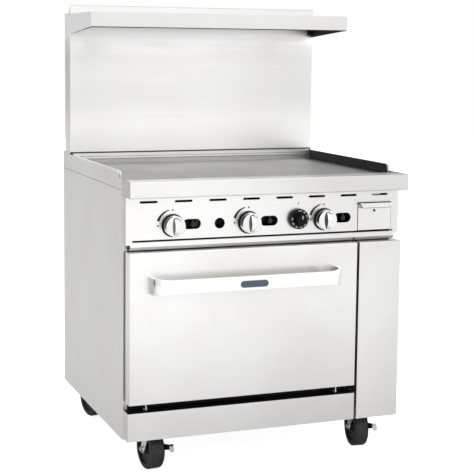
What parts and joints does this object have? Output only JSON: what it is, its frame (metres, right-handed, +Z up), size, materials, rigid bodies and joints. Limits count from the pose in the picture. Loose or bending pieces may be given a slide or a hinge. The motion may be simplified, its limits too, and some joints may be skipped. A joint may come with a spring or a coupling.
{
  "type": "commercial gas range",
  "caption": "Free-standing gas range on casters, with a griddle top, one oven behind a drop-down door, a grease drawer, and a backguard with a high shelf.",
  "frame": {"origin": "on the floor, at the middle of the whole range", "axes": "+Z up, +Y to the rear, +X to the right seen from the front"},
  "size_m": [0.9144, 0.876, 1.4535],
  "materials": {
    "stainless": "satin stainless sheet, brushed",
    "polished_steel": "bright polished stainless",
    "griddle_steel": "ground steel cooking surface",
    "black_steel": "black heat-proof coating",
    "grey_enamel": "grey painted side sheet",
    "zinc_steel": "zinc-plated pressed steel",
    "plated_bolt": "zinc-plated bolt steel",
    "knob_metal": "bright die-cast metal",
    "black_plastic": "black heat-proof plastic",
    "tread_rubber": "black rubber",
    "gasket": "woven door seal",
    "brass": "machined brass",
    "iron": "dark cast iron",
    "galvanised": "galvanised sheet",
    "enamel": "dark porcelain enamel",
    "wool": "mineral wool",
    "pipe": "black gas pipe",
    "wire": "plated wire"
  },
  "bodies": {
    "range_body": {"base_frame": "galvanised", "inner_casing": "galvanised", "left_side_panel": "grey_enamel", "right_side_panel": "grey_enamel", "back_panel": "galvanised", "kick_panel": "stainless", "right_column_panel": "stainless", "control_panel": "stainless", "landing_ledge": "stainless", "top_casings": "stainless", "griddle_plate": "griddle_steel", "griddle_side_splashes": "black_steel", "griddle_rear_splash": "stainless", "grease_trough": "stainless", "backguard_front": "stainless", "backguard_back": "galvanised", "high_shelf": "stainless", "shelf_support_frame": "black_steel", "burner_box": "galvanised", "griddle_burners": "iron", "gas_manifold": "pipe", "burner_valves": "brass", "thermostat_valve": "brass", "pilot_valves": "brass", "knob_bezels": "black_plastic", "drawer_rails": "galvanised", "oven_liner": "enamel", "oven_insulation": "wool", "oven_floor": "enamel", "oven_burner": "iron", "rack_guides": "wire", "oven_face_frame": "black_steel", "door_gasket": "gasket", "flue_duct": "galvanised", "hinge_brackets": "black_steel", "hinge_pins": "plated_bolt", "caster_plates": "zinc_steel", "caster_bolts": "plated_bolt"},
    "oven_door": {"door_outer_skin": "stainless", "door_inner_panel": "enamel", "door_insulation": "wool", "door_handle": "polished_steel", "door_hinge_arms": "plated_bolt"},
    "grease_drawer_body": {"grease_drawer": "stainless", "grease_drawer_front": "stainless"},
    "burner_knob_1": {"burner_knob_1": "knob_metal"},
    "burner_knob_2": {"burner_knob_2": "knob_metal"},
    "burner_knob_3": {"burner_knob_3": "knob_metal"},
    "thermostat_knob": {"thermostat_knob": "black_plastic"},
    "oven_rack": {"oven_rack": "wire"},
    "caster_fork_front_left": {"caster_fork_front_left": "zinc_steel"},
    "caster_wheel_front_left": {"caster_wheel_front_left": "tread_rubber"},
    "brake_pedal_front_left": {"brake_pedal_front_left": "black_steel"},
    "caster_fork_front_right": {"caster_fork_front_right": "zinc_steel"},
    "caster_wheel_front_right": {"caster_wheel_front_right": "tread_rubber"},
    "brake_pedal_front_right": {"brake_pedal_front_right": "black_steel"},
    "caster_fork_rear_left": {"caster_fork_rear_left": "zinc_steel"},
    "caster_wheel_rear_left": {"caster_wheel_rear_left": "tread_rubber"},
    "caster_fork_rear_right": {"caster_fork_rear_right": "zinc_steel"},
    "caster_wheel_rear_right": {"caster_wheel_rear_right": "tread_rubber"}
  },
  "joints": [
    {"name": "oven_door_hinge", "type": "hinge", "parent": "range_body", "child": "oven_door", "pos_m": [0, -0.37, 0.23], "axis": [1, 0, 0], "range_deg": [0, 88]},
    {"name": "grease_drawer_slide", "type": "slide", "parent": "range_body", "child": "grease_drawer_body", "axis": [0, -1, 0], "range_m": [0, 0.33]},
    {"name": "burner_knob_1_turn", "type": "hinge", "parent": "range_body", "child": "burner_knob_1", "pos_m": [-0.308, -0.38, 0.782], "axis": [0, -1, 0], "range_deg": [0, 90]},
    {"name": "burner_knob_2_turn", "type": "hinge", "parent": "range_body", "child": "burner_knob_2", "pos_m": [-0.063, -0.38, 0.782], "axis": [0, -1, 0], "range_deg": [0, 90]},
    {"name": "burner_knob_3_turn", "type": "hinge", "parent": "range_body", "child": "burner_knob_3", "pos_m": [0.191, -0.38, 0.782], "axis": [0, -1, 0], "range_deg": [0, 90]},
    {"name": "thermostat_knob_turn", "type": "hinge", "parent": "range_body", "child": "thermostat_knob", "pos_m": [0.102, -0.38, 0.787], "axis": [0, -1, 0], "range_deg": [0, 270]},
    {"name": "oven_rack_slide", "type": "slide", "parent": "range_body", "child": "oven_rack", "axis": [0, -1, 0], "range_m": [0, 0.09]},
    {"name": "caster_swivel_front_left", "type": "hinge", "parent": "range_body", "child": "caster_fork_front_left", "pos_m": [-0.335, -0.28, 0.145], "axis": [0, 0, 1], "continuous": true},
    {"name": "caster_wheel_front_left_spin", "type": "hinge", "parent": "caster_fork_front_left", "child": "caster_wheel_front_left", "pos_m": [-0.33876, -0.2442, 0.0635], "axis": [0.9945, 0.1045, 0], "continuous": true},
    {"name": "brake_pedal_front_left_press", "type": "hinge", "parent": "caster_fork_front_left", "child": "brake_pedal_front_left", "pos_m": [-0.33876, -0.2442, 0.0635], "axis": [0.9945, 0.1045, 0], "range_deg": [0, 12]},
    {"name": "caster_swivel_front_right", "type": "hinge", "parent": "range_body", "child": "caster_fork_front_right", "pos_m": [0.375, -0.28, 0.145], "axis": [0, 0, 1], "continuous": true},
    {"name": "caster_wheel_front_right_spin", "type": "hinge", "parent": "caster_fork_front_right", "child": "caster_wheel_front_right", "pos_m": [0.38001, -0.24435, 0.0635], "axis": [0.9903, -0.1392, 0], "continuous": true},
    {"name": "brake_pedal_front_right_press", "type": "hinge", "parent": "caster_fork_front_right", "child": "brake_pedal_front_right", "pos_m": [0.38001, -0.24435, 0.0635], "axis": [0.9903, -0.1392, 0], "range_deg": [0, 12]},
    {"name": "caster_swivel_rear_left", "type": "hinge", "parent": "range_body", "child": "caster_fork_rear_left", "pos_m": [-0.352, 0.328, 0.145], "axis": [0, 0, 1], "continuous": true},
    {"name": "caster_wheel_rear_left_spin", "type": "hinge", "parent": "caster_fork_rear_left", "child": "caster_wheel_rear_left", "pos_m": [-0.36071, 0.36293, 0.0635], "axis": [0.9703, 0.2419, 0], "continuous": true},
    {"name": "caster_swivel_rear_right", "type": "hinge", "parent": "range_body", "child": "caster_fork_rear_right", "pos_m": [0.36, 0.328, 0.145], "axis": [0, 0, 1], "continuous": true},
    {"name": "caster_wheel_rear_right_spin", "type": "hinge", "parent": "caster_fork_rear_right", "child": "caster_wheel_rear_right", "pos_m": [0.36376, 0.3638, 0.0635], "axis": [0.9945, -0.1045, 0], "continuous": true}
  ]
}
